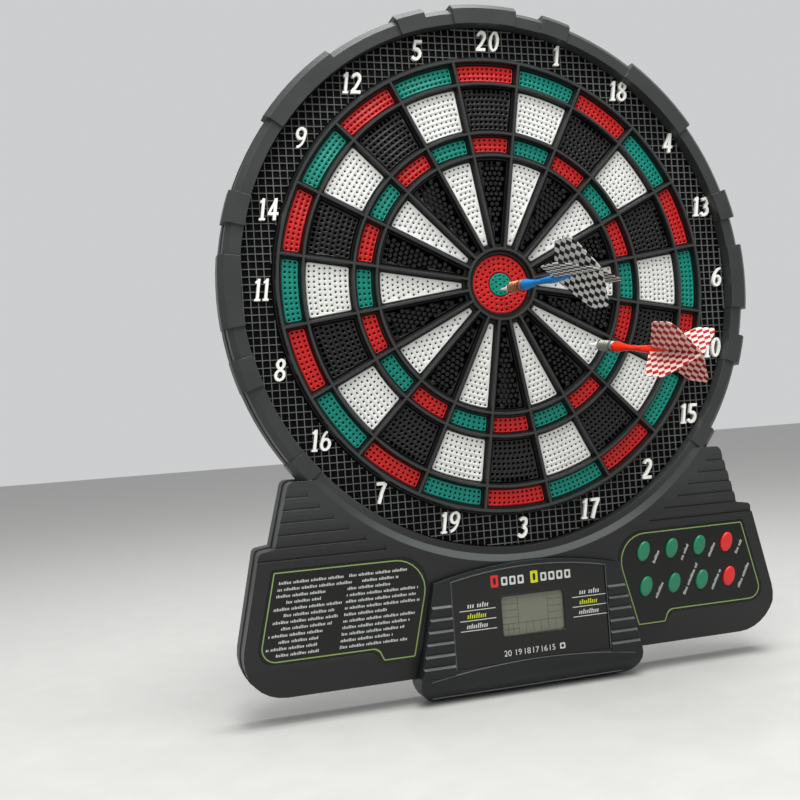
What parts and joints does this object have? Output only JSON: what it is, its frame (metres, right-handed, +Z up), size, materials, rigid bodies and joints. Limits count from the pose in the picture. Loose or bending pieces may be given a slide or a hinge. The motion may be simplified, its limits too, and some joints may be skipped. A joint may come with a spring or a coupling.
{
  "type": "electronic dartboard",
  "caption": "Wall-hung electronic dartboard for soft-tip darts: perforated scoring segments that press in, numbered catch ring, console with display and keys, and two darts.",
  "frame": {"origin": "on the back plane that rests on the wall, straight behind the centre of the bull", "axes": "+Y out of the back, towards the wall; the board faces -Y; +X to the player's right; +Z up"},
  "size_m": [0.4332, 0.1569, 0.5252],
  "materials": {
    "charcoal_plastic": "moulded, fine texture",
    "black_plastic": "moulded, fine texture",
    "white_plastic": "satin",
    "spider_plastic": "moulded, fine texture",
    "segment_black": "satin",
    "segment_white": "satin",
    "segment_red": "satin",
    "segment_green": "satin",
    "label_film": "printed film",
    "bezel_plastic": "moulded, fine texture",
    "panel_black": "printed panel",
    "lcd_glass": "grey-green liquid crystal panel",
    "key_green": "satin",
    "key_red": "satin",
    "silicone": "translucent sheet",
    "circuit_board": "solder mask",
    "membrane_film": "clear film",
    "foam": "open foam",
    "hardboard": "pressed board",
    "ribbon_film": "flat film",
    "speaker_steel": "black lacquer",
    "battery_case": "foil sleeve",
    "contact_steel": "nickel plated",
    "screw_steel": "zinc plated",
    "dart_tip_plastic": "nylon",
    "copper_barrel": "turned",
    "steel_barrel": "turned",
    "blue_plastic": "moulded",
    "red_plastic": "moulded",
    "black_check_film": "printed film",
    "red_check_film": "printed film"
  },
  "bodies": {
    "board": {"front_housing": "charcoal_plastic", "rear_housing": "charcoal_plastic", "catch_ring": "black_plastic", "numerals": "white_plastic", "spider": "spider_plastic", "games_label": "label_film", "keypad_label": "label_film", "display_bezel": "bezel_plastic", "display_panel": "panel_black", "lcd_module": "lcd_glass", "keypad_mat": "silicone", "main_board": "circuit_board", "key_board": "circuit_board", "sensor_membrane": "membrane_film", "damping_foam": "foam", "backing_plate": "hardboard", "ribbon_cable": "ribbon_film", "speaker": "speaker_steel", "batteries": "battery_case", "battery_contacts": "contact_steel", "housing_screws": "screw_steel"},
    "number_20": {"segment_20": "segment_black"},
    "number_1": {"segment_1": "segment_white"},
    "number_18": {"segment_18": "segment_black"},
    "number_4": {"segment_4": "segment_white"},
    "number_13": {"segment_13": "segment_black"},
    "number_6": {"segment_6": "segment_white"},
    "number_10": {"segment_10": "segment_black"},
    "number_15": {"segment_15": "segment_white"},
    "number_2": {"segment_2": "segment_black"},
    "number_17": {"segment_17": "segment_white"},
    "number_3": {"segment_3": "segment_black"},
    "number_19": {"segment_19": "segment_white"},
    "number_7": {"segment_7": "segment_black"},
    "number_16": {"segment_16": "segment_white"},
    "number_8": {"segment_8": "segment_black"},
    "number_11": {"segment_11": "segment_white"},
    "number_14": {"segment_14": "segment_black"},
    "number_9": {"segment_9": "segment_white"},
    "number_12": {"segment_12": "segment_black"},
    "number_5": {"segment_5": "segment_white"},
    "outer_bull": {"outer_bull": "segment_red"},
    "inner_bull": {"inner_bull": "segment_green"},
    "key_1": {"key_1": "key_green"},
    "key_2": {"key_2": "key_green"},
    "key_3": {"key_3": "key_green"},
    "key_4": {"key_4": "key_red"},
    "key_5": {"key_5": "key_green"},
    "key_6": {"key_6": "key_green"},
    "key_7": {"key_7": "key_green"},
    "key_8": {"key_8": "key_red"},
    "battery_door": {"battery_door": "charcoal_plastic"},
    "blue_dart": {"blue_dart_tip": "dart_tip_plastic", "blue_dart_barrel": "copper_barrel", "blue_dart_shaft": "blue_plastic", "blue_dart_flight": "black_check_film"},
    "red_dart": {"red_dart_tip": "dart_tip_plastic", "red_dart_barrel": "steel_barrel", "red_dart_shaft": "red_plastic", "red_dart_flight": "red_check_film"}
  },
  "joints": [
    {"name": "number_20_press", "type": "slide", "parent": "board", "child": "number_20", "axis": [0, 1, 0], "range_m": [0, 0.0012], "stiffness_N_per_m": 1200},
    {"name": "number_1_press", "type": "slide", "parent": "board", "child": "number_1", "axis": [0, 1, 0], "range_m": [0, 0.0012], "stiffness_N_per_m": 1200},
    {"name": "number_18_press", "type": "slide", "parent": "board", "child": "number_18", "axis": [0, 1, 0], "range_m": [0, 0.0012], "stiffness_N_per_m": 1200},
    {"name": "number_4_press", "type": "slide", "parent": "board", "child": "number_4", "axis": [0, 1, 0], "range_m": [0, 0.0012], "stiffness_N_per_m": 1200},
    {"name": "number_13_press", "type": "slide", "parent": "board", "child": "number_13", "axis": [0, 1, 0], "range_m": [0, 0.0012], "stiffness_N_per_m": 1200},
    {"name": "number_6_press", "type": "slide", "parent": "board", "child": "number_6", "axis": [0, 1, 0], "range_m": [0, 0.0012], "stiffness_N_per_m": 1200},
    {"name": "number_10_press", "type": "slide", "parent": "board", "child": "number_10", "axis": [0, 1, 0], "range_m": [0, 0.0012], "stiffness_N_per_m": 1200},
    {"name": "number_15_press", "type": "slide", "parent": "board", "child": "number_15", "axis": [0, 1, 0], "range_m": [0, 0.0012], "stiffness_N_per_m": 1200},
    {"name": "number_2_press", "type": "slide", "parent": "board", "child": "number_2", "axis": [0, 1, 0], "range_m": [0, 0.0012], "stiffness_N_per_m": 1200},
    {"name": "number_17_press", "type": "slide", "parent": "board", "child": "number_17", "axis": [0, 1, 0], "range_m": [0, 0.0012], "stiffness_N_per_m": 1200},
    {"name": "number_3_press", "type": "slide", "parent": "board", "child": "number_3", "axis": [0, 1, 0], "range_m": [0, 0.0012], "stiffness_N_per_m": 1200},
    {"name": "number_19_press", "type": "slide", "parent": "board", "child": "number_19", "axis": [0, 1, 0], "range_m": [0, 0.0012], "stiffness_N_per_m": 1200},
    {"name": "number_7_press", "type": "slide", "parent": "board", "child": "number_7", "axis": [0, 1, 0], "range_m": [0, 0.0012], "stiffness_N_per_m": 1200},
    {"name": "number_16_press", "type": "slide", "parent": "board", "child": "number_16", "axis": [0, 1, 0], "range_m": [0, 0.0012], "stiffness_N_per_m": 1200},
    {"name": "number_8_press", "type": "slide", "parent": "board", "child": "number_8", "axis": [0, 1, 0], "range_m": [0, 0.0012], "stiffness_N_per_m": 1200},
    {"name": "number_11_press", "type": "slide", "parent": "board", "child": "number_11", "axis": [0, 1, 0], "range_m": [0, 0.0012], "stiffness_N_per_m": 1200},
    {"name": "number_14_press", "type": "slide", "parent": "board", "child": "number_14", "axis": [0, 1, 0], "range_m": [0, 0.0012], "stiffness_N_per_m": 1200},
    {"name": "number_9_press", "type": "slide", "parent": "board", "child": "number_9", "axis": [0, 1, 0], "range_m": [0, 0.0012], "stiffness_N_per_m": 1200},
    {"name": "number_12_press", "type": "slide", "parent": "board", "child": "number_12", "axis": [0, 1, 0], "range_m": [0, 0.0012], "stiffness_N_per_m": 1200},
    {"name": "number_5_press", "type": "slide", "parent": "board", "child": "number_5", "axis": [0, 1, 0], "range_m": [0, 0.0012], "stiffness_N_per_m": 1200},
    {"name": "outer_bull_press", "type": "slide", "parent": "board", "child": "outer_bull", "axis": [0, 1, 0], "range_m": [0, 0.0012], "stiffness_N_per_m": 1200},
    {"name": "inner_bull_press", "type": "slide", "parent": "board", "child": "inner_bull", "axis": [0, 1, 0], "range_m": [0, 0.0012], "stiffness_N_per_m": 1200},
    {"name": "key_1_press", "type": "slide", "parent": "board", "child": "key_1", "axis": [0, 1, 0], "range_m": [0, 0.0012], "stiffness_N_per_m": 800},
    {"name": "key_2_press", "type": "slide", "parent": "board", "child": "key_2", "axis": [0, 1, 0], "range_m": [0, 0.0012], "stiffness_N_per_m": 800},
    {"name": "key_3_press", "type": "slide", "parent": "board", "child": "key_3", "axis": [0, 1, 0], "range_m": [0, 0.0012], "stiffness_N_per_m": 800},
    {"name": "key_4_press", "type": "slide", "parent": "board", "child": "key_4", "axis": [0, 1, 0], "range_m": [0, 0.0012], "stiffness_N_per_m": 800},
    {"name": "key_5_press", "type": "slide", "parent": "board", "child": "key_5", "axis": [0, 1, 0], "range_m": [0, 0.0012], "stiffness_N_per_m": 800},
    {"name": "key_6_press", "type": "slide", "parent": "board", "child": "key_6", "axis": [0, 1, 0], "range_m": [0, 0.0012], "stiffness_N_per_m": 800},
    {"name": "key_7_press", "type": "slide", "parent": "board", "child": "key_7", "axis": [0, 1, 0], "range_m": [0, 0.0012], "stiffness_N_per_m": 800},
    {"name": "key_8_press", "type": "slide", "parent": "board", "child": "key_8", "axis": [0, 1, 0], "range_m": [0, 0.0012], "stiffness_N_per_m": 800},
    {"name": "battery_door_slide", "type": "slide", "parent": "board", "child": "battery_door", "axis": [0, 0, -1], "range_m": [0, 0.03]},
    {"name": "blue_dart_pull", "type": "slide", "parent": "inner_bull", "child": "blue_dart", "axis": [0.113, -0.9922, -0.0523], "range_m": [0, 0.02]},
    {"name": "red_dart_pull", "type": "slide", "parent": "number_15", "child": "red_dart", "axis": [0.112, -0.9827, -0.1478], "range_m": [0, 0.02]}
  ]
}
